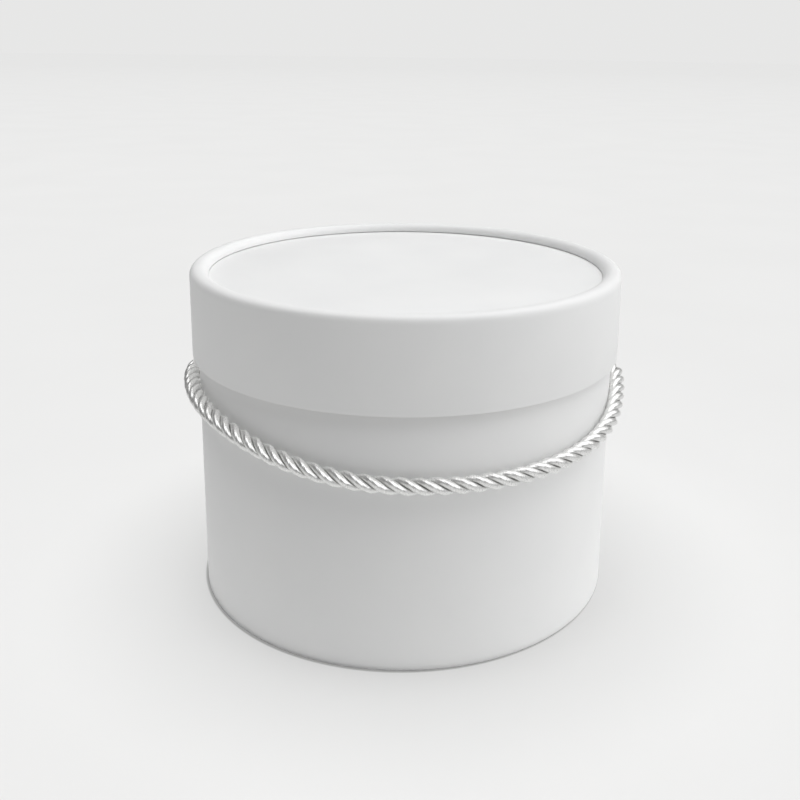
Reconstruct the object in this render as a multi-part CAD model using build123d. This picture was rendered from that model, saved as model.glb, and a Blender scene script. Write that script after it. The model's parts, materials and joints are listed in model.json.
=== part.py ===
"""Round lidded hat box with a twisted rope handle, as separate pieces, in millimetres.

Origin: centre of the circle that the box stands on. +Z is up, the rope hangs on the -Y side,
and the two rope holes are on the X axis.
"""

import math
import os

from build123d import *

# Driving dimensions
BODY_RADIUS = 87.5  # outside of the body's wrap
BODY_HEIGHT = 131.5
LID_RADIUS = 90.0  # outside of the lid's wrap
LID_LOWER_EDGE = 101.2
LID_PANEL_TOP = 133.5
RIM_ROLL_RADIUS = 3.8  # outside of the curled rim, seen in section
WRAP = 0.3  # outer papers
LINING = 0.2  # inner papers
WALL_BOARD = 1.5
LID_BOARD = 1.3
PANEL_BOARD = 1.5
BASE_BOARD = 2.0
BASE_RECESS = 1.5  # the base sits this far up inside the tube
PANEL_CLEARANCE = 0.1  # between a disc's edge and the wall around it
SEAM_WIDTH = 12.0  # the wrap's two ends overlap at the back
SEAM_STEP = 0.15
ROPE_DIAMETER = 6.5
ROPE_HOLE_DIAMETER = 9.0
HINGE_HEIGHT = 90.0  # the two rope holes, and the line that the handle swings about
KNOT_RADIUS = 8.0
TAIL_LENGTH = 15.0
TAPE_LENGTH = 7.0
TAPE_THICKNESS = 0.2
TAPE_CLEARANCE = 0.05

# Worked out from them
WRAP_INSIDE = BODY_RADIUS - WRAP
BOARD_INSIDE = WRAP_INSIDE - WALL_BOARD
BODY_INSIDE = BOARD_INSIDE - LINING
LID_WRAP_INSIDE = LID_RADIUS - WRAP
LID_BOARD_INSIDE = LID_WRAP_INSIDE - LID_BOARD
LID_INSIDE = LID_BOARD_INSIDE - LINING
ROLL_CENTRE_RADIUS = LID_RADIUS - RIM_ROLL_RADIUS
PANEL_BOARD_TOP = LID_PANEL_TOP - WRAP
PANEL_BOARD_BOTTOM = PANEL_BOARD_TOP - PANEL_BOARD
PANEL_BOTTOM = PANEL_BOARD_BOTTOM - LINING
BASE_BOARD_BOTTOM = BASE_RECESS + WRAP
BASE_BOARD_TOP = BASE_BOARD_BOTTOM + BASE_BOARD
ROPE_RADIUS = ROPE_DIAMETER / 2
KNOT_DEPTH = math.sqrt(KNOT_RADIUS**2 - ROPE_RADIUS**2)  # from its centre to a rope-sized flat

# The rope's route from the left knot to the right one, seen from the front: out through the
# left hole, down against the wall, across the front, and up to the right hole.
ROPE_ROUTE = [
    (-81.5, 0.7, 90.0),
    (-86.0, 0.5, 90.0),
    (-90.1, -2.1, 90.0),
    (-91.6, -6.2, 90.1),
    (-90.0, -16.6, 90.0),
    (-84.8, -34.6, 89.5),
    (-75.9, -51.6, 87.6),
    (-62.6, -67.1, 84.7),
    (-44.5, -80.2, 80.4),
    (-23.7, -88.5, 77.1),
    (-1.0, -91.6, 75.7),
    (21.6, -89.0, 75.3),
    (42.6, -81.1, 75.3),
    (60.7, -68.6, 76.2),
    (74.3, -53.5, 78.0),
    (84.0, -36.5, 81.6),
    (89.9, -17.5, 86.5),
    (91.6, -6.2, 89.0),
    (90.1, -2.1, 89.8),
    (86.0, 0.5, 90.0),
    (81.5, 0.7, 90.0),
]
BEND_SHARE = 0.45  # of the shorter run that each arc takes up


def ring(outside, inside, bottom, top):
    """A plain tube about the Z axis."""
    walls = Cylinder(outside, top - bottom) - Cylinder(inside, top - bottom)
    return Pos(0, 0, (bottom + top) / 2) * walls


def disc(radius, bottom, top):
    return Pos(0, 0, (bottom + top) / 2) * Cylinder(radius, top - bottom)


def rope_holes():
    """The two punched holes, as one cutter along the X axis."""
    hole = Cylinder(ROPE_HOLE_DIAMETER / 2, 4 * BODY_RADIUS)
    return Pos(0, 0, HINGE_HEIGHT) * Rot(0, 90, 0) * hole


def seam_angle(radius):
    return math.degrees(SEAM_WIDTH / radius)


def at_the_back(turned, angle):
    """Turn a sector that starts on the XZ plane so that it is centred on +Y."""
    return Rot(0, 0, 90 - angle / 2) * turned


def curled_section(outside, thickness, roll_radius, bottom):
    """Half section of a skirt whose top edge curls inwards and down onto the panel."""
    inside = outside - thickness
    centre = (outside - roll_radius, LID_PANEL_TOP)
    over = roll_radius - thickness
    with BuildSketch(Plane.XZ) as section:
        with BuildLine():
            Line((inside, bottom), (outside, bottom))
            Line((outside, bottom), (outside, centre[1]))
            CenterArc(centre, roll_radius, 0, 180)
            Line((centre[0] - roll_radius, centre[1]), (centre[0] - over, centre[1]))
            CenterArc(centre, over, 0, 180)
            Line((inside, centre[1]), (inside, bottom))
        make_face()
    return section.sketch


def revolved(section, angle=360):
    return revolve(section, Axis.Z, angle)


def body_wrap():
    """Outer paper, with its overlap at the back."""
    shell = ring(BODY_RADIUS, WRAP_INSIDE, 0, BODY_HEIGHT)
    angle = seam_angle(BODY_RADIUS)
    with BuildSketch(Plane.XZ) as section:
        with Locations(((WRAP_INSIDE + BODY_RADIUS + SEAM_STEP) / 2, BODY_HEIGHT / 2)):
            Rectangle(WRAP + SEAM_STEP, BODY_HEIGHT)
    flap = at_the_back(revolved(section.sketch, angle), angle)
    return shell + flap - rope_holes()


def lid_wrap():
    """Outer paper of the lid: up the skirt, over the curl and down to the panel."""
    shell = revolved(curled_section(LID_RADIUS, WRAP, RIM_ROLL_RADIUS, LID_LOWER_EDGE))
    angle = seam_angle(LID_RADIUS)
    thick = curled_section(
        LID_RADIUS + SEAM_STEP, WRAP + SEAM_STEP, RIM_ROLL_RADIUS + SEAM_STEP, LID_LOWER_EDGE
    )
    return shell + at_the_back(revolved(thick, angle), angle)


def lid_tube():
    """Board skirt of the lid, with its curled top edge."""
    return revolved(
        curled_section(LID_WRAP_INSIDE, LID_BOARD, RIM_ROLL_RADIUS - WRAP, LID_LOWER_EDGE)
    )


def rope_path():
    """Straight runs joined by arcs that are as large as the two runs allow."""
    points = [Vector(*point) for point in ROPE_ROUTE]
    radii = []
    for before, here, after in zip(points, points[1:], points[2:]):
        turn = math.radians((here - before).get_angle(after - here))
        shorter = min((here - before).length, (after - here).length)
        radii.append(BEND_SHARE * shorter / math.tan(turn / 2))
    print("rope bend radii, mm:", [round(radius, 1) for radius in radii])
    return FilletPolyline(*points, radius=radii)


def rope():
    path = rope_path()
    section = Plane(origin=path @ 0, z_dir=path % 0) * Circle(ROPE_RADIUS)
    tube = sweep(section, path=path)
    expected = math.pi * ROPE_RADIUS**2 * path.length
    print(f"rope length {path.length:.1f} mm, volume {tube.volume:.0f} of {expected:.0f} mm3")
    return tube


def knot_face():
    """The plane of the rope's right-hand end, facing into the knot."""
    last = Vector(*ROPE_ROUTE[-1])
    return Plane(origin=last, z_dir=last - Vector(*ROPE_ROUTE[-2]))


def knot_centre():
    face = knot_face()
    return face.origin + face.z_dir * KNOT_DEPTH


def tail_plane():
    """Where the tail leaves the underside of the right-hand knot, pointing down."""
    return Plane(origin=knot_centre() - Vector(0, 0, KNOT_DEPTH), z_dir=(0, 0, -1))


def knot():
    """The right-hand knot: a ball cut flat where the rope enters it and where the tail leaves."""
    size = 4 * KNOT_RADIUS
    before_face = knot_face() * Pos(0, 0, -size / 2) * Box(size, size, size)
    below_tail = tail_plane() * Pos(0, 0, size / 2) * Box(size, size, size)
    return Pos(*knot_centre()) * Sphere(KNOT_RADIUS) - before_face - below_tail


def tail():
    return tail_plane() * Pos(0, 0, TAIL_LENGTH / 2) * Cylinder(ROPE_RADIUS, TAIL_LENGTH)


def end_tape():
    """Tape round the last stretch of a tail."""
    inside = ROPE_RADIUS + TAPE_CLEARANCE
    band = Cylinder(inside + TAPE_THICKNESS, TAPE_LENGTH) - Cylinder(inside, TAPE_LENGTH)
    return tail_plane() * Pos(0, 0, TAIL_LENGTH - TAPE_LENGTH / 2) * band


def mirrored(shape):
    return mirror(shape, about=Plane.YZ)


def build():
    holes = rope_holes()
    parts = {
        "body_tube": ring(WRAP_INSIDE, BOARD_INSIDE, 0, BODY_HEIGHT) - holes,
        "body_wrap": body_wrap(),
        "body_lining": ring(BOARD_INSIDE, BODY_INSIDE, BASE_BOARD_TOP, BODY_HEIGHT) - holes,
        "base_panel": disc(BOARD_INSIDE - PANEL_CLEARANCE, BASE_BOARD_BOTTOM, BASE_BOARD_TOP),
        "base_cover": disc(BOARD_INSIDE - PANEL_CLEARANCE, BASE_RECESS, BASE_BOARD_BOTTOM),
        "base_lining": disc(
            BODY_INSIDE - PANEL_CLEARANCE, BASE_BOARD_TOP, BASE_BOARD_TOP + LINING
        ),
        "lid_tube": lid_tube(),
        "lid_wrap": lid_wrap(),
        "lid_lining": ring(LID_BOARD_INSIDE, LID_INSIDE, LID_LOWER_EDGE, PANEL_BOTTOM),
        "lid_panel": disc(
            LID_BOARD_INSIDE - PANEL_CLEARANCE, PANEL_BOARD_BOTTOM, PANEL_BOARD_TOP
        ),
        "lid_panel_cover": disc(
            LID_BOARD_INSIDE - PANEL_CLEARANCE, PANEL_BOARD_TOP, LID_PANEL_TOP
        ),
        "lid_panel_lining": disc(
            LID_INSIDE - PANEL_CLEARANCE, PANEL_BOTTOM, PANEL_BOARD_BOTTOM
        ),
        "rope": rope(),
    }
    for name, shape in {"knot": knot(), "rope_tail": tail(), "end_tape": end_tape()}.items():
        parts[f"{name}_right"] = shape
        parts[f"{name}_left"] = mirrored(shape)
    return parts


os.makedirs("parts", exist_ok=True)
for name, shape in build().items():
    shape.label = name
    export_step(shape, f"parts/{name}.step")
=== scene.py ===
import json
import math

import bmesh
import bpy
from mathutils import Matrix, Vector, noise

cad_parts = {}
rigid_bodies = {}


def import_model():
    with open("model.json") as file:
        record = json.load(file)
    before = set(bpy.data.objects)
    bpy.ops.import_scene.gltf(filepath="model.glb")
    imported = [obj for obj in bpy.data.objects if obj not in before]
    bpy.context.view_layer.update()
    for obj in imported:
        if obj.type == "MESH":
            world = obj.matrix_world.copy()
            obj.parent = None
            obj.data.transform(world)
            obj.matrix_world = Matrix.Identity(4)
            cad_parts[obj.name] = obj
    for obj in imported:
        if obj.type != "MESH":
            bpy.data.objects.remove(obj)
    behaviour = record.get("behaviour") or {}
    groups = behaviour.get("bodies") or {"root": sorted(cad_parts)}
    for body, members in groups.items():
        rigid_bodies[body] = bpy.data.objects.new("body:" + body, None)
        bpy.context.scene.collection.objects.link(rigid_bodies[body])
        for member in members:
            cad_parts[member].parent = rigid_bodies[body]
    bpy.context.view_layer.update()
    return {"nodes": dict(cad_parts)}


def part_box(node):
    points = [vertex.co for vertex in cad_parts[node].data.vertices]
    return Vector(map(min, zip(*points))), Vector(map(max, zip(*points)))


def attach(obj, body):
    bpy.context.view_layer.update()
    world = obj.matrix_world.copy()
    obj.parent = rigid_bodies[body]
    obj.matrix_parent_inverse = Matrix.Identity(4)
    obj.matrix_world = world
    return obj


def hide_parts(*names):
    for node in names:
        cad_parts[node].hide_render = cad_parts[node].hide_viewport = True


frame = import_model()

scene = bpy.context.scene
mm = 0.001

cameraSet = {
    "place": (0.0, -0.4116, 0.2276),
    "lookDown": 13.72,  # degrees below the horizon
    "turnRight": 1.69,
    "roll": 0.86,
    "lens": 44.6,
    "shift": (-0.044, -0.146),
}


def makeCamera():
    data = bpy.data.cameras.new("camera")
    data.lens = cameraSet["lens"]
    data.shift_x, data.shift_y = cameraSet["shift"]
    data.clip_start = 0.01
    camera = bpy.data.objects.new("camera", data)
    scene.collection.objects.link(camera)
    turn = Matrix.Rotation(math.radians(-cameraSet["turnRight"]), 4, "Z")
    tilt = Matrix.Rotation(math.radians(90 - cameraSet["lookDown"]), 4, "X")
    roll = Matrix.Rotation(math.radians(cameraSet["roll"]), 4, "Z")
    camera.matrix_world = Matrix.Translation(cameraSet["place"]) @ turn @ tilt @ roll
    scene.camera = camera


makeCamera()
print("camera placed")


def addNode(tree, kind, inputs=None, **settings):
    node = tree.nodes.new("ShaderNode" + kind)
    for name, value in settings.items():
        setattr(node, name, value)
    for name, value in (inputs or {}).items():
        if isinstance(value, bpy.types.NodeSocket):
            tree.links.new(value, node.inputs[name])
        else:
            node.inputs[name].default_value = value
    return node


def sums(tree, operation, *values):
    # one Math node; a value is a number or another node's output
    node = addNode(tree, "Math", operation=operation)
    for i, value in enumerate(values):
        if isinstance(value, bpy.types.NodeSocket):
            tree.links.new(value, node.inputs[i])
        else:
            node.inputs[i].default_value = value
    return node.outputs[0]


def blendColours(tree, share, first, second, mode="MIX"):
    node = addNode(tree, "Mix", data_type="RGBA", blend_type=mode, clamp_factor=True)
    for slot, value in ((0, share), (6, first), (7, second)):
        if isinstance(value, bpy.types.NodeSocket):
            tree.links.new(value, node.inputs[slot])
        else:
            node.inputs[slot].default_value = value if slot == 0 else (*value, 1)
    return node.outputs[2]


def stretch(tree, value, low, high, toLow=0.0, toHigh=1.0):
    node = addNode(tree, "MapRange", clamp=True)
    for name, number in (
        ("From Min", low), ("From Max", high), ("To Min", toLow), ("To Max", toHigh),
    ):
        node.inputs[name].default_value = number
    tree.links.new(value, node.inputs["Value"])
    return node.outputs["Result"]


def newGroup(name, inputs, outputs):
    group = bpy.data.node_groups.new(name, "ShaderNodeTree")
    for label, kind, value in inputs:
        socket = group.interface.new_socket(label, in_out="INPUT", socket_type=kind)
        if value is not None:
            socket.default_value = value
    for label in outputs:
        group.interface.new_socket(label, in_out="OUTPUT", socket_type="NodeSocketFloat")
    return group, group.nodes.new("NodeGroupInput"), group.nodes.new("NodeGroupOutput")


def useGroup(tree, group, **inputs):
    node = tree.nodes.new("ShaderNodeGroup")
    node.node_tree = group
    for name, value in inputs.items():
        if isinstance(value, bpy.types.NodeSocket):
            tree.links.new(value, node.inputs[name])
        else:
            node.inputs[name].default_value = value
    return node


def newMaterial(name):
    material = bpy.data.materials.new(name)
    material.use_nodes = True
    tree = material.node_tree
    tree.nodes.clear()
    shader = tree.nodes.new("ShaderNodeBsdfPrincipled")
    output = tree.nodes.new("ShaderNodeOutputMaterial")
    tree.links.new(shader.outputs[0], output.inputs[0])
    return material, tree, shader


def objectPlace(tree):
    return addNode(tree, "TexCoord").outputs["Object"]


def addBump(tree, shader, height, depth, strength=1.0):
    bump = addNode(tree, "Bump", {"Height": height, "Distance": depth, "Strength": strength})
    tree.links.new(bump.outputs[0], shader.inputs["Normal"])
    return bump


def makePaperGrain():
    # felted fibres: a fine grain, thin curling hairs and slow clouding of the sheet
    group, given, out = newGroup(
        "paperGrain",
        [
            ("Vector", "NodeSocketVector", None),
            ("Grain", "NodeSocketFloat", 2400.0),
            ("Hair", "NodeSocketFloat", 700.0),
            ("Cloud", "NodeSocketFloat", 26.0),
        ],
        ["Height", "Hairs", "Clouds"],
    )
    where = given.outputs["Vector"]
    fine = addNode(group, "TexNoise", {
        "Vector": where, "Scale": given.outputs["Grain"], "Detail": 3.0, "Roughness": 0.6,
    })
    curl = addNode(group, "TexNoise", {
        "Vector": where, "Scale": given.outputs["Hair"], "Detail": 1.0, "Distortion": 1.6,
    })
    patch = addNode(group, "TexNoise", {
        "Vector": where, "Scale": sums(group, "MULTIPLY", given.outputs["Hair"], 0.31),
    })
    slow = addNode(group, "TexNoise", {
        "Vector": where, "Scale": given.outputs["Cloud"], "Detail": 2.0, "Roughness": 0.55,
    })
    edge = sums(group, "ABSOLUTE", sums(group, "SUBTRACT", curl.outputs["Fac"], 0.5))
    hair = stretch(group, edge, 0.0, 0.018, 1.0, 0.0)
    hair = sums(group, "MULTIPLY", hair, stretch(group, patch.outputs["Fac"], 0.45, 0.6))
    height = sums(group, "MULTIPLY_ADD", hair, 0.35, fine.outputs["Fac"])
    group.links.new(height, out.inputs["Height"])
    group.links.new(hair, out.inputs["Hairs"])
    clouds = stretch(group, slow.outputs["Fac"], 0.3, 0.7)
    group.links.new(clouds, out.inputs["Clouds"])
    return group


paperGrain = makePaperGrain()

wrapSet = {
    "light": (0.885, 0.888, 0.885),
    "dark": (0.862, 0.866, 0.866),
    "roughness": (0.52, 0.62),
    "hair": (0.93, 0.93, 0.925),
    "hairShare": 0.18,
    "specular": 0.28,
    "grainDepth": 0.018 * mm,
    "sheen": 0.08,
}


def makeWrapPaper():
    material, tree, shader = newMaterial("wrap_paper")
    grain = useGroup(tree, paperGrain, Vector=objectPlace(tree), Grain=2600.0, Hair=520.0)
    clouds, hairs = grain.outputs["Clouds"], grain.outputs["Hairs"]
    base = blendColours(tree, clouds, wrapSet["dark"], wrapSet["light"])
    hairs = sums(tree, "MULTIPLY", hairs, wrapSet["hairShare"])
    base = blendColours(tree, hairs, base, wrapSet["hair"])
    tree.links.new(base, shader.inputs["Base Color"])
    tree.links.new(stretch(tree, clouds, 0, 1, *wrapSet["roughness"]), shader.inputs["Roughness"])
    shader.inputs["Specular IOR Level"].default_value = wrapSet["specular"]
    shader.inputs["Sheen Weight"].default_value = wrapSet["sheen"]
    addBump(tree, shader, grain.outputs["Height"], wrapSet["grainDepth"])
    return material


liningSet = {
    "light": (0.86, 0.855, 0.835),
    "dark": (0.80, 0.795, 0.775),
    "hair": (0.91, 0.905, 0.89),
    "hairShare": 0.35,
    "roughness": (0.72, 0.82),
    "specular": 0.25,
    "grainDepth": 0.035 * mm,
}


def makeLiningPaper():
    material, tree, shader = newMaterial("lining_paper")
    grain = useGroup(
        tree, paperGrain, Vector=objectPlace(tree), Grain=1700.0, Hair=380.0, Cloud=60.0
    )
    clouds, hairs = grain.outputs["Clouds"], grain.outputs["Hairs"]
    base = blendColours(tree, clouds, liningSet["dark"], liningSet["light"])
    hairs = sums(tree, "MULTIPLY", hairs, liningSet["hairShare"])
    base = blendColours(tree, hairs, base, liningSet["hair"])
    tree.links.new(base, shader.inputs["Base Color"])
    rough = stretch(tree, clouds, 0, 1, *liningSet["roughness"])
    tree.links.new(rough, shader.inputs["Roughness"])
    shader.inputs["Specular IOR Level"].default_value = liningSet["specular"]
    addBump(tree, shader, grain.outputs["Height"], liningSet["grainDepth"])
    return material


boardSet = {
    "pulp": (0.40, 0.375, 0.34),
    "dark": (0.25, 0.235, 0.215),
    "speck": (0.60, 0.58, 0.54),
    "gap": (0.16, 0.15, 0.135),  # the glue lines between layers
    "roughness": (0.8, 0.95),
    "specular": 0.2,
    "ply": 0.42 * mm,  # thickness of one layer of the board
    "grainDepth": 0.06 * mm,
}


def makeGreyboard(name, rolled):
    # recycled board; its plies show as rings on a tube's cut edge and as lines on a sheet's
    material, tree, shader = newMaterial(name)
    place = objectPlace(tree)
    grain = useGroup(tree, paperGrain, Vector=place, Grain=1500.0, Hair=430.0, Cloud=210.0)
    parts = addNode(tree, "SeparateXYZ", {"Vector": place})
    if rolled:
        flat = sums(
            tree, "ADD", sums(tree, "POWER", parts.outputs[0], 2.0),
            sums(tree, "POWER", parts.outputs[1], 2.0),
        )
        depth = sums(tree, "SQRT", flat)
    else:
        depth = parts.outputs[2]
    warp = sums(tree, "MULTIPLY_ADD", grain.outputs["Height"], 0.00012, depth)
    layer = sums(tree, "PINGPONG", warp, boardSet["ply"] / 2)
    gap = stretch(tree, layer, 0.0, 0.05 * mm, 1.0, 0.0)
    base = blendColours(tree, grain.outputs["Clouds"], boardSet["dark"], boardSet["pulp"])
    base = blendColours(
        tree, sums(tree, "MULTIPLY", grain.outputs["Hairs"], 0.6), base, boardSet["speck"]
    )
    base = blendColours(tree, sums(tree, "MULTIPLY", gap, 0.55), base, boardSet["gap"])
    tree.links.new(base, shader.inputs["Base Color"])
    rough = stretch(tree, grain.outputs["Clouds"], 0, 1, *boardSet["roughness"])
    tree.links.new(rough, shader.inputs["Roughness"])
    shader.inputs["Specular IOR Level"].default_value = boardSet["specular"]
    height = sums(tree, "MULTIPLY_ADD", gap, -0.6, grain.outputs["Height"])
    addBump(tree, shader, height, boardSet["grainDepth"])
    return material


yarnSet = {
    "light": (0.94, 0.94, 0.93),
    # the dark tone serves both random streaks and painted shade in the troughs between the wound
    # yarns
    "dark": (0.70, 0.70, 0.69),
    # painted shade for the grooves between the strands
    "grooveShade": (0.34, 0.34, 0.335),
    "metallic": 0.7,
    "roughness": (0.24, 0.36),
    "wrapPitch": 0.85 * mm,
    "filament": 0.13 * mm,
    "grooveShadeEdge": (0.17, 0.25),  # where the painted groove shade fades, in turns from a strand's inner side
    "depth": 0.045 * mm,
}


def makeRopeYarn():
    # satin filaments wound steeply round each strand, on the strand's own UV map:
    # U is once round the strand, V is millimetres along it divided by ten
    material, tree, shader = newMaterial("rope_yarn")
    uv = addNode(tree, "UVMap", uv_map="UVMap").outputs[0]
    parts = addNode(tree, "SeparateXYZ", {"Vector": uv})
    around, along = parts.outputs[0], parts.outputs[1]
    uneven = addNode(tree, "TexNoise", {
        "Vector": addNode(tree, "Mapping", {"Vector": uv, "Scale": (6, 3.0, 1)}).outputs[0],
        "Scale": 1.0, "Detail": 2.0,
    })
    wind = sums(tree, "MULTIPLY_ADD", uneven.outputs["Fac"], 0.6, sums(
        tree, "MULTIPLY_ADD", around, 4.0, sums(
            tree, "MULTIPLY", along, 10 * mm / yarnSet["wrapPitch"]
        ),
    ))
    yarn = sums(tree, "PINGPONG", wind, 0.5)
    yarn = sums(tree, "SQRT", sums(tree, "MULTIPLY", yarn, 2.0))
    thread = sums(tree, "PINGPONG", sums(
        tree, "MULTIPLY", wind, yarnSet["wrapPitch"] / yarnSet["filament"]
    ), 0.5)
    streak = addNode(tree, "TexNoise", {
        "Vector": addNode(tree, "CombineXYZ", {0: wind, 1: around, 2: 0.0}).outputs[0],
        "Scale": 9.0, "Detail": 3.0, "Roughness": 0.7,
    })
    # the yarn colour is darker in random streaks and, as painted shade, in the troughs between
    # the wound yarns
    shade = stretch(tree, streak.outputs["Fac"], 0.3, 0.7)
    shade = sums(tree, "MULTIPLY", shade, stretch(tree, yarn, 0.0, 0.5, 0.4, 1.0))
    base = blendColours(tree, shade, yarnSet["dark"], yarnSet["light"])
    # painted shade: the strand's inner side, down in the grooves between the strands, is coloured
    # dark
    inner = sums(tree, "ABSOLUTE", sums(tree, "SUBTRACT", around, 0.5))
    inner = stretch(tree, inner, *yarnSet["grooveShadeEdge"], 1.0, 0.0)
    base = blendColours(tree, inner, base, yarnSet["grooveShade"])
    tree.links.new(base, shader.inputs["Base Color"])
    tree.links.new(
        stretch(tree, streak.outputs["Fac"], 0.3, 0.7, *yarnSet["roughness"]),
        shader.inputs["Roughness"],
    )
    shader.inputs["Metallic"].default_value = yarnSet["metallic"]
    height = sums(tree, "MULTIPLY_ADD", thread, 0.06, yarn)
    addBump(tree, shader, height, yarnSet["depth"])
    return material


filmSet = {
    "dark": (0.86, 0.87, 0.86),
    "light": (0.97, 0.975, 0.97),
    "roughness": (0.08, 0.2),
    "clear": 0.85,
    "bend": 1.47,  # index of refraction
    "creaseDepth": 0.05 * mm,
}


def makeEndTape():
    material, tree, shader = newMaterial("end_tape")
    place = objectPlace(tree)
    crease = addNode(tree, "TexNoise", {"Vector": place, "Scale": 420.0, "Detail": 3.0})
    shade = stretch(tree, crease.outputs["Fac"], 0.35, 0.65)
    base = blendColours(tree, shade, filmSet["dark"], filmSet["light"])
    tree.links.new(base, shader.inputs["Base Color"])
    tree.links.new(stretch(tree, shade, 0, 1, *filmSet["roughness"]), shader.inputs["Roughness"])
    shader.inputs["Transmission Weight"].default_value = filmSet["clear"]
    shader.inputs["IOR"].default_value = filmSet["bend"]
    addBump(tree, shader, crease.outputs["Fac"], filmSet["creaseDepth"])
    return material


wrapPaper = makeWrapPaper()
liningPaper = makeLiningPaper()
tubeBoard = makeGreyboard("greyboard_tube", rolled=True)
sheetBoard = makeGreyboard("greyboard_sheet", rolled=False)
ropeYarn = makeRopeYarn()
tapeFilm = makeEndTape()
print("materials made")


def link(name, mesh, material, body):
    piece = bpy.data.objects.new(name, mesh)
    scene.collection.objects.link(piece)
    mesh.materials.append(material)
    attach(piece, body)
    return piece


def arc(centre, radius, start, end, steps, square=1.0):
    # points of an arc in the (radius, height) plane, angles in degrees; under 1 is squarer
    points = []
    for i in range(steps + 1):
        angle = math.radians(start + (end - start) * i / steps)
        across, up = math.cos(angle), math.sin(angle)
        across = math.copysign(abs(across) ** square, across)
        up = math.copysign(abs(up) ** square, up)
        points.append((centre[0] + radius * across, centre[1] + radius * up))
    return points


def spun(outline, steps):
    # turns a closed outline of (radius, height) points about the Z axis
    bm = bmesh.new()
    verts = [bm.verts.new((r, 0, z)) for r, z in outline]
    edges = [bm.edges.new(pair) for pair in zip(verts, verts[1:])]
    if outline[0][0] > 0 or outline[-1][0] > 0:
        edges.append(bm.edges.new((verts[-1], verts[0])))
    bmesh.ops.spin(
        bm, geom=verts + edges, cent=(0, 0, 0), axis=(0, 0, 1), angle=2 * math.pi,
        steps=steps, use_merge=True,
    )
    bmesh.ops.remove_doubles(bm, verts=bm.verts, dist=1e-7)
    bmesh.ops.recalc_face_normals(bm, faces=bm.faces)
    return bm


def softenEdges(bm, offset, segments=2, angle=50, chosen=None):
    sharp = [
        e for e in bm.edges
        if len(e.link_faces) == 2 and e.calc_face_angle(0) > math.radians(angle)
        and (chosen is None or chosen(e))
    ]
    bmesh.ops.bevel(
        bm, geom=sharp, offset=offset, offset_type="OFFSET", segments=segments,
        affect="EDGES", profile=0.5, material=-1, clamp_overlap=True,
    )


def placePiece(name, bm, material, body, node):
    # makes the bmesh a smooth piece that rides on a body and stands for a CAD node
    piece = link(name, smoothMesh(bm, name), material, body)
    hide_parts(node)


def smoothMesh(bm, name, sharpAngle=40):
    for face in bm.faces:
        face.smooth = True
    for edge in bm.edges:
        if len(edge.link_faces) == 2 and edge.calc_face_angle(0) > math.radians(sharpAngle):
            edge.smooth = False
    mesh = bpy.data.meshes.new(name)
    bm.to_mesh(mesh)
    bm.free()
    return mesh


boxSet = {
    "steps": 256,  # columns round a tube
    "edge": 0.07 * mm,  # rounding of the cut edges
    "liningEdge": 0.05 * mm,
    "discEdge": 0.06 * mm,
    "discSteps": 192,
    "holeHeight": 90.0 * mm,
    "holeRadius": 4.5 * mm,
    "holeEdge": 0.12 * mm,
    "lining": 0.2 * mm,
}
lidSet = {
    "rollRadius": 3.8 * mm,
    "rollEnd": 176,  # degrees; the curl stops just clear of the panel
    "rollSquare": 0.8,  # the outer quarter is a little squarer than a circle
    "rollOn": 94.8,  # where the round part starts, in degrees
    "board": 1.3 * mm,
}
seamSet = {
    "column": 61,  # of the 256 round the box; the step stands at the back, +Y
    "radius": 87.5 * mm,  # where the widths are measured
    "crisp": 0.2 * mm,  # the step itself
    "drawnIn": 2.3 * mm,  # columns this near the step are pulled up to it
    "width": 12.0 * mm,
    "ramp": 9.0 * mm,
    "step": 0.15 * mm,
}


def reach(node):
    # a round node's radius, lowest and highest level
    low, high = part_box(node)
    return high.x, low.z, high.z


def liftSeam(bm, outwards):
    # the wrap's end lies over its start: a crisp step, a flat strip and a slow ramp back
    start = 2 * math.pi * seamSet["column"] / boxSet["steps"]
    for v in bm.verts:
        radius = math.hypot(v.co.x, v.co.y)
        past = (math.atan2(v.co.y, v.co.x) - start) * seamSet["radius"]
        if past < seamSet["crisp"] or past > seamSet["width"] + seamSet["ramp"]:
            continue
        rest = 1 - max(0.0, past - seamSet["width"]) / seamSet["ramp"]
        lift = seamSet["step"] * rest * rest * (3 - 2 * rest)
        out = outwards(v.co, radius)
        if out:
            v.co += out * lift
        if past < seamSet["drawnIn"]:
            turned = Matrix.Rotation(0.0006 - past / seamSet["radius"], 3, "Z")
            v.co = turned @ v.co


def cutHoles(bm):
    # the two rope holes, straight through along X
    mesh = bpy.data.meshes.new("wall")
    bm.to_mesh(mesh)
    bm.free()
    wall = bpy.data.objects.new("wall", mesh)
    tool = bmesh.new()
    bmesh.ops.create_cone(
        tool, cap_ends=True, segments=48, radius1=boxSet["holeRadius"],
        radius2=boxSet["holeRadius"], depth=0.24,
        matrix=Matrix.Translation((0, 0, boxSet["holeHeight"])) @ Matrix.Rotation(
            math.pi / 2, 4, "Y"
        ),
    )
    toolMesh = bpy.data.meshes.new("punch")
    tool.to_mesh(toolMesh)
    tool.free()
    punch = bpy.data.objects.new("punch", toolMesh)
    for thing in (wall, punch):
        scene.collection.objects.link(thing)
    cut = wall.modifiers.new("holes", "BOOLEAN")
    cut.object = punch
    cut.operation = "DIFFERENCE"
    cut.solver = "EXACT"
    graph = bpy.context.evaluated_depsgraph_get()
    result = bmesh.new()
    result.from_mesh(wall.evaluated_get(graph).to_mesh())
    for thing in (wall, punch):
        data = thing.data
        bpy.data.objects.remove(thing)
        bpy.data.meshes.remove(data)

    def atHole(e):
        return all(
            abs(math.hypot(v.co.y, v.co.z - boxSet["holeHeight"]) - boxSet["holeRadius"])
            < 0.02 * mm for v in e.verts
        )

    softenEdges(result, boxSet["holeEdge"], 2, 50, atHole)
    return result


def tubeOutline(outside, inside, low, high):
    return [(outside, low), (outside, high), (inside, high), (inside, low)]


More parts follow.
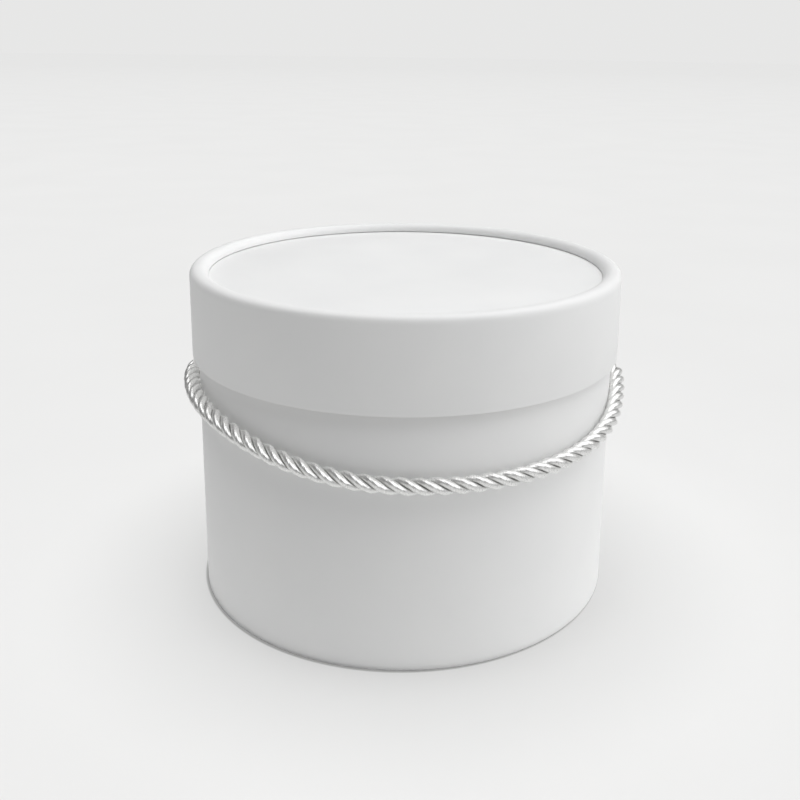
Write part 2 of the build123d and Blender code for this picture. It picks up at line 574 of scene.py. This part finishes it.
def makeBody():
    wrapOut, low, high = reach("body_wrap")
    boardOut = reach("body_tube")[0]
    liningOut, liningLow, _ = reach("body_lining")
    liningIn = liningOut - boxSet["lining"]
    steps = boxSet["steps"]

    bm = spun(tubeOutline(wrapOut, boardOut, low, high), steps)
    middle = (wrapOut + boardOut) / 2

    def outwards(co, radius):
        return Vector((co.x, co.y, 0)).normalized() if radius > middle else None

    softenEdges(bm, boxSet["edge"])
    liftSeam(bm, outwards)
    bm = cutHoles(bm)
    placePiece("body_outer_paper", bm, wrapPaper, "box", "body_wrap")

    bm = spun(tubeOutline(boardOut, liningOut, low, high), steps)
    softenEdges(bm, boxSet["edge"])
    bm = cutHoles(bm)
    placePiece("body_board", bm, tubeBoard, "box", "body_tube")

    bm = spun(tubeOutline(liningOut, liningIn, liningLow, high), steps)
    softenEdges(bm, boxSet["liningEdge"])
    bm = cutHoles(bm)
    placePiece("body_inner_paper", bm, liningPaper, "box", "body_lining")


def discOutline(node):
    radius, low, high = reach(node)
    half = radius / 2
    return [(0, high), (half, high), (radius, high), (radius, low), (half, low), (0, low)]


def makeDisc(name, node, material, body):
    bm = spun(discOutline(node), boxSet["discSteps"])
    softenEdges(bm, boxSet["discEdge"])
    placePiece(name, bm, material, body, node)


def curledOutline(outside, thickness, roll, centre, low):
    end = lidSet["rollEnd"]
    square = lidSet["rollSquare"]
    outer = arc(centre, roll, 0, 90, 20, square) + arc(centre, roll, lidSet["rollOn"], end, 17)
    inner = arc(centre, roll - thickness, end, lidSet["rollOn"], 14)
    inner += arc(centre, roll - thickness, 90, 0, 16, square)
    return [(outside, low)] + outer + inner + [(outside - thickness, low)]


def makeLid():
    wrapOut, low, _ = reach("lid_wrap")
    boardOut = reach("lid_tube")[0]
    panelTop = reach("lid_panel_cover")[2]
    paper = wrapOut - boardOut
    centre = (wrapOut - lidSet["rollRadius"], panelTop)
    steps = boxSet["steps"]

    bm = spun(curledOutline(wrapOut, paper, lidSet["rollRadius"], centre, low), steps)

    def outwards(co, radius):
        flat = Vector((co.x, co.y, 0)).normalized()
        if co.z <= panelTop:
            return flat if radius > wrapOut - paper / 2 else None
        across, up = radius - centre[0], co.z - centre[1]
        away = math.hypot(across, up)
        under = away < lidSet["rollRadius"] - paper / 2
        return None if under else flat * max(0.0, across / away) ** 2

    softenEdges(bm, boxSet["edge"])
    liftSeam(bm, outwards)
    placePiece("lid_outer_paper", bm, wrapPaper, "lid", "lid_wrap")

    inner = lidSet["rollRadius"] - paper
    bm = spun(curledOutline(boardOut, lidSet["board"], inner, centre, low), steps)
    softenEdges(bm, boxSet["edge"])
    placePiece("lid_board", bm, tubeBoard, "lid", "lid_tube")

    liningOut, liningLow, liningHigh = reach("lid_lining")
    inside = liningOut - boxSet["lining"]
    bm = spun(tubeOutline(liningOut, inside, liningLow, liningHigh), steps)
    softenEdges(bm, boxSet["liningEdge"])
    placePiece("lid_inner_paper", bm, liningPaper, "lid", "lid_lining")


makeBody()
makeDisc("base_outer_paper", "base_cover", wrapPaper, "box")
makeDisc("base_inner_paper", "base_lining", liningPaper, "box")
makeLid()
makeDisc("panel_outer_paper", "lid_panel_cover", wrapPaper, "lid")
makeDisc("panel_inner_paper", "lid_panel_lining", liningPaper, "lid")
for node in ("base_panel", "lid_panel"):
    for spot in frame["nodes"][node].material_slots:
        spot.material = sheetBoard
print("box and lid made")

ropeSet = {
    "diameter": 6.5 * mm,
    "lay": 19.3 * mm,  # one full turn of a strand
    "strandOff": 1.60 * mm,  # strand centres from the rope's axis
    "strandRadius": 1.70 * mm,
    "ridges": 7,  # yarns showing round each strand
    "ridgeDepth": 0.08 * mm,
    "ridgeTurn": 330,  # radians of yarn twist along a metre of strand
    "around": 52,
    "step": 0.62 * mm,
    "length": 0.303,
    "phase": 0.35,
    "wander": 0.10,  # radians by which the strands' turn is uneven
    "swell": 0.035,  # and how unevenly thick they are
    "knotNarrow": 0.62,  # the rope is squeezed thinner inside its knots
    "tailNarrow": 0.97,  # and a little under the tape
}

# the rope's route from the left knot to the right one: its CAD tube's points, with the ones
# near the holes up to a millimetre nearer the wall
ropeRoute = [
    (-0.0815, 0.0007, 0.0900),
    (-0.0860, 0.0005, 0.0900),
    (-0.0901, -0.0021, 0.0900),
    (-0.0906, -0.0062, 0.0901),
    (-0.0895, -0.0167, 0.0900),
    (-0.0847, -0.0346, 0.0894),
    (-0.0759, -0.0516, 0.0876),
    (-0.0626, -0.0671, 0.0847),
    (-0.0445, -0.0802, 0.0804),
    (-0.0237, -0.0885, 0.0771),
    (-0.0010, -0.0916, 0.0757),
    (0.0216, -0.0890, 0.0753),
    (0.0426, -0.0811, 0.0753),
    (0.0607, -0.0686, 0.0762),
    (0.0743, -0.0535, 0.0780),
    (0.0840, -0.0365, 0.0816),
    (0.0891, -0.0175, 0.0865),
    (0.0908, -0.0062, 0.0890),
    (0.0901, -0.0021, 0.0898),
    (0.0860, 0.0005, 0.0900),
    (0.0815, 0.0007, 0.0900),
]

# an overhand knot pulled tight, in millimetres from the knot's middle: outwards, back, up;
# it starts where the rope comes in through the wall and ends where the tail hangs down
knotTurns = [
    (7.4, -0.3, 0.0), (6.3, 0.4, -0.3), (4.9, 1.8, 0.3), (3.2, 2.1, 1.6),
    (1.6, 1.2, 2.1), (0.4, -0.3, 2.3), (-1.2, -1.8, 2.9), (-3.6, -2.2, 2.9),
    (-5.8, -1.4, 1.2), (-6.3, 0.2, -1.9), (-4.3, 1.6, -4.3), (-1.1, 2.3, -4.3),
    (1.0, 1.4, -2.6), (1.8, -0.1, -1.4), (3.0, -1.7, -0.4), (4.4, -2.3, 1.6),
    (4.1, -1.5, 4.5), (1.5, 0.1, 6.4), (-1.8, 1.6, 5.6), (-3.2, 2.2, 2.9),
    (-2.7, 1.4, 0.6), (-2.2, -0.1, -0.8), (-2.0, -1.6, -2.2), (-1.2, -2.1, -4.0),
    (-0.2, -1.3, -5.6), (0.0, -0.2, -6.6), (0.0, 0.0, -7.4),
]


def followRoute(points):
    # a smooth NURBS line with these control points, read back as closely spaced points
    curve = bpy.data.curves.new("route", "CURVE")
    curve.dimensions = "3D"
    spline = curve.splines.new("NURBS")
    spline.points.add(len(points) - 1)
    for point, place in zip(spline.points, points):
        point.co = (*place, 1)
    spline.order_u = 3
    spline.use_endpoint_u = True
    spline.resolution_u = 24
    carrier = bpy.data.objects.new("route", curve)
    line = bpy.data.meshes.new_from_object(carrier)
    path = [v.co.copy() for v in line.vertices]
    bpy.data.meshes.remove(line)
    bpy.data.objects.remove(carrier)
    bpy.data.curves.remove(curve)
    return path


def evenly(path, step):
    # the same line with its points an even distance apart
    lengths = [0.0]
    for a, b in zip(path, path[1:]):
        lengths.append(lengths[-1] + (b - a).length)
    count = max(2, round(lengths[-1] / step))
    points, i = [], 0
    for n in range(count + 1):
        want = lengths[-1] * n / count
        while i < len(path) - 2 and lengths[i + 1] < want:
            i += 1
        share = (want - lengths[i]) / max(1e-9, lengths[i + 1] - lengths[i])
        points.append(path[i].lerp(path[i + 1], share))
    return points, lengths[-1]


def strandReach(angle):
    # how far a strand's surface is from its centre: round outside, flat against its neighbours
    off, reachOut = ropeSet["strandOff"], ropeSet["strandRadius"]
    for side in (1, -1):
        towards = math.sin(side * angle - math.radians(60))
        if towards > 0.05:
            flat = off * math.sin(math.radians(60)) / towards
            soft = 0.12 * ropeSet["strandRadius"]
            gap = (flat - reachOut) / soft
            if gap < -1:
                reachOut = flat
            elif gap < 1:
                reachOut -= soft * (1 - gap) ** 2 / 4
    return reachOut


laid = {"gone": 0.0, "across": Vector((0, 1, 0))}  # so far along the whole rope


def twistedRope(name, points, narrow=(1.0, 1.0, 1.0), ease=5 * mm):
    # three strands laid right-handed round the line, carrying on from the piece before
    around = ropeSet["around"]
    path, length = evenly(points, ropeSet["step"])
    across = laid["across"]
    bm = bmesh.new()
    uvs = bm.loops.layers.uv.new("UVMap")
    rings = [[], [], []]
    for i, centre in enumerate(path):
        ahead = (path[min(i + 1, len(path) - 1)] - path[max(i - 1, 0)]).normalized()
        across = (across - ahead * across.dot(ahead)).normalized()
        side = across.cross(ahead)
        here = length * i / (len(path) - 1)
        along = laid["gone"] + here
        first = min(1.0, here / ease)
        last = min(1.0, (length - here) / ease)
        size = narrow[1] + (narrow[0] - narrow[1]) * (1 - first * first * (3 - 2 * first))
        size += (narrow[2] - narrow[1]) * (1 - last * last * (3 - 2 * last))
        for strand in range(3):
            wander = ropeSet["wander"] * noise.noise(Vector((along * 60, 3.7 * strand, 1.5)))
            swell = noise.noise(Vector((along * 90, 8.1, 5.0 * strand)))
            full = size * (1 + ropeSet["swell"] * swell)
            turn = 2 * math.pi * (along / ropeSet["lay"] + strand / 3)
            turn += ropeSet["phase"] + wander
            outward = side * math.cos(turn) + across * math.sin(turn)
            sideways = across * math.cos(turn) - side * math.sin(turn)
            middle = centre + outward * (ropeSet["strandOff"] * size)
            ring = []
            for j in range(around):
                angle = 2 * math.pi * j / around
                yarn = angle * ropeSet["ridges"] - along * ropeSet["ridgeTurn"]
                dip = ropeSet["ridgeDepth"] * (1 - abs(math.sin(yarn / 2)) ** 0.6)
                turned = angle if angle < math.pi else angle - 2 * math.pi
                out = (strandReach(turned) - dip) * full
                place = middle + outward * (math.cos(angle) * out)
                ring.append(bm.verts.new(place + sideways * (math.sin(angle) * out)))
            rings[strand].append(ring)
    for strand in rings:
        for i, (here, then) in enumerate(zip(strand, strand[1:])):
            for j in range(around):
                k = (j + 1) % around
                face = bm.faces.new((here[j], here[k], then[k], then[j]))
                face.smooth = True
                corners = ((j, i), (j + 1, i), (j + 1, i + 1), (j, i + 1))
                for loop, (u, v) in zip(face.loops, corners):
                    far = laid["gone"] + length * v / (len(path) - 1)
                    loop[uvs].uv = (u / around, far / (10 * mm))
        bm.faces.new(strand[0][::-1])
        bm.faces.new(strand[-1])
    bmesh.ops.recalc_face_normals(bm, faces=bm.faces)
    mesh = bpy.data.meshes.new(name)
    bm.to_mesh(mesh)
    bm.free()
    laid["gone"] += length
    laid["across"] = across
    return mesh, path


def tailLine(side):
    # where a tail hangs: its middle at the top and at the bottom
    low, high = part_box("rope_tail_left" if side < 0 else "rope_tail_right")
    x, y = (low.x + high.x) / 2, (low.y + high.y) / 2
    return Vector((x, y, high.z)), Vector((x, y, low.z))


def knotRoute(side):
    top = tailLine(side)[0]
    ball = Vector((top.x, top.y, ropeRoute[0][2]))
    return [ball + Vector((side * u, v, w)) * mm for u, v, w in knotTurns]


def tailRoute(side):
    top, bottom = tailLine(side)
    return [top.lerp(bottom, n / 3) for n in range(4)]


def ropePiece(name, points, node, narrow=(1.0, 1.0, 1.0)):
    mesh, line = twistedRope(name, points, narrow)
    piece = link(name, mesh, ropeYarn, "rope_handle")
    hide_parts(node)
    return piece, line


def makeRope():
    tail = ropeSet["tailNarrow"]
    thin = (1.0, ropeSet["knotNarrow"], tail)
    bare = (0.96 * tail, tail, tail)
    ropePiece("tail_strands_left", followRoute(tailRoute(-1)[::-1]), "rope_tail_left", bare)
    ropePiece("knot_strands_left", followRoute(knotRoute(-1)[::-1]), "knot_left", thin[::-1])
    rope, line = ropePiece("rope_strands", followRoute(ropeRoute), "rope")
    ropePiece("knot_strands_right", followRoute(knotRoute(1)), "knot_right", thin)
    ropePiece("tail_strands_right", followRoute(tailRoute(1)), "rope_tail_right", bare[::-1])
    print("rope laid,", len(rope.data.polygons), "faces")


tapeSet = {
    "thick": 0.2 * mm,
    "step": 0.06 * mm,  # where the film's end lies over itself
    "rings": 14,
}


def makeTape(side):
    name = "left" if side < 0 else "right"
    low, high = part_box("end_tape_" + name)
    outside = (high.x - low.x) / 2
    inside = outside - tapeSet["thick"]
    length = high.z - low.z
    wall = [(outside, length * i / tapeSet["rings"]) for i in range(tapeSet["rings"] + 1)]
    wall += [(inside, length * i / tapeSet["rings"]) for i in range(tapeSet["rings"], -1, -1)]
    bm = spun(wall, 64)
    softenEdges(bm, 0.03 * mm, 1)
    for v in bm.verts:
        radius = math.hypot(v.co.x, v.co.y)
        turn = math.atan2(v.co.y, v.co.x)
        grow = tapeSet["step"] * ((turn / (2 * math.pi)) % 1.0)
        grow += 0.04 * mm * noise.noise(Vector((turn * 2, v.co.z * 400, side)))
        if radius > (inside + outside) / 2:
            v.co.x *= 1 + grow / radius
            v.co.y *= 1 + grow / radius
    shift = Vector(((low.x + high.x) / 2, (low.y + high.y) / 2, low.z))
    bmesh.ops.translate(bm, verts=bm.verts, vec=shift)
    placePiece("tape_film_" + name, bm, tapeFilm, "rope_handle", "end_tape_" + name)


makeTape(-1)
makeTape(1)
makeRope()

studioSet = {
    "floorRadius": 14.0,
    "floor": (0.45, 0.45, 0.4475),
    "overhead": {"strength": 2.6, "angle": 75, "from": (0.20, 0.12, 1.0)},
    "window": {"strength": 1.32, "angle": 60, "from": (1.0, -0.20, 0.22)},
    "fill": {"strength": 0.26, "angle": 70, "from": (-1.0, 0.02, 0.22)},
    "ropeLamp": {"strength": 3.1, "angle": 100, "from": (0.35, -0.12, 0.9)},
    "floorLamp": {"strength": 3.5, "angle": 55, "from": (0.0, 0.0, 1.0)},
    "floorGlow": 0.31,
    "rimShade": (0.0873, 0.0881),  # inside and outside of the thin shade round the foot
    "rimShift": (0.0006, 0.0010, 0),  # which puts it at the left of the box
    "glowOnBox": (1.70, 0.79),  # how the glow counts on the box, near its foot and far out
    "ambient": 0.09,
    "background": 0.80,
}


def makeFloor():
    bm = bmesh.new()
    bmesh.ops.create_circle(bm, cap_ends=True, segments=96, radius=studioSet["floorRadius"])
    mesh = bpy.data.meshes.new("floor")
    bm.to_mesh(mesh)
    bm.free()
    floor = bpy.data.objects.new("floor", mesh)
    scene.collection.objects.link(floor)
    material, tree, shader = newMaterial("floor_surface")
    place = objectPlace(tree)
    stain = addNode(tree, "TexNoise", {"Vector": place, "Scale": 7.0, "Detail": 5.0})
    share = stretch(tree, stain.outputs["Fac"], 0.35, 0.7)
    warm = tuple(0.975 * c for c in studioSet["floor"])
    tree.links.new(
        blendColours(tree, share, studioSet["floor"], warm), shader.inputs["Base Color"]
    )
    shader.inputs["Roughness"].default_value = 0.9
    shader.inputs["Specular IOR Level"].default_value = 0.1
    # lit from below like a light table, apart from a thin rim of shade left of the box,
    # and a little dimmer far behind it
    near = addNode(tree, "Mapping", {"Vector": place, "Location": studioSet["rimShift"]})
    rim = addNode(tree, "VectorMath", {"Vector": near.outputs[0]}, operation="LENGTH")
    rim = stretch(tree, rim.outputs["Value"], *studioSet["rimShade"], 0.0, studioSet["floorGlow"])
    far = addNode(tree, "VectorMath", {"Vector": place}, operation="LENGTH")
    lit = sums(tree, "MULTIPLY", rim, stretch(tree, far.outputs["Value"], 1.2, 8.0, 1.0, 0.86))
    seen = addNode(tree, "LightPath").outputs["Is Camera Ray"]
    cast = stretch(tree, far.outputs["Value"], 0.09, 0.17, *studioSet["glowOnBox"])
    seen = sums(tree, "MULTIPLY_ADD", seen, sums(tree, "SUBTRACT", 1.0, cast), cast)
    shader.inputs["Emission Color"].default_value = (1, 1, 0.995, 1)
    tree.links.new(sums(tree, "MULTIPLY", lit, seen), shader.inputs["Emission Strength"])
    mesh.materials.append(material)
    return floor


def addSun(name, settings, listed, only=False, shades=None):
    # a sun that skips the listed pieces, or lights nothing else; shades alone block it
    data = bpy.data.lights.new(name, "SUN")
    data.energy = settings["strength"]
    data.angle = math.radians(settings["angle"])
    lamp = bpy.data.objects.new(name, data)
    lamp.rotation_euler = Vector(settings["from"]).to_track_quat("Z", "Y").to_euler()
    scene.collection.objects.link(lamp)
    lit = bpy.data.collections.new(name + "_lit")
    for i, piece in enumerate(listed):
        lit.objects.link(piece)
        lit.collection_objects[i].light_linking.link_state = "INCLUDE" if only else "EXCLUDE"
    lamp.light_linking.receiver_collection = lit
    if shades:
        blocks = bpy.data.collections.new(name + "_blocked")
        for piece in shades:
            blocks.objects.link(piece)
        lamp.light_linking.blocker_collection = blocks


def makeStudio():
    floor = makeFloor()
    satin = [piece for piece in scene.objects if "strands" in piece.name]
    for name in ("overhead", "window", "fill"):
        addSun(name, studioSet[name], [floor] + satin)
    addSun("rope_lamp", studioSet["ropeLamp"], satin, only=True, shades=satin)
    addSun("floor_lamp", studioSet["floorLamp"], [floor], only=True)
    world = bpy.data.worlds.new("studio")
    scene.world = world
    world.use_nodes = True
    tree = world.node_tree
    tree.nodes.clear()
    dim = addNode(tree, "Background", {"Color": (1, 1, 1, 1), "Strength": studioSet["ambient"]})
    white = addNode(tree, "Background", {
        "Color": (1, 1, 0.995, 1), "Strength": studioSet["background"],
    })
    rays = addNode(tree, "LightPath")
    mix = tree.nodes.new("ShaderNodeMixShader")
    tree.links.new(rays.outputs["Is Camera Ray"], mix.inputs[0])
    tree.links.new(dim.outputs[0], mix.inputs[1])
    tree.links.new(white.outputs[0], mix.inputs[2])
    output = tree.nodes.new("ShaderNodeOutputWorld")
    tree.links.new(mix.outputs[0], output.inputs[0])
    scene.view_settings.view_transform = "Standard"


makeStudio()
print("floor and light made")
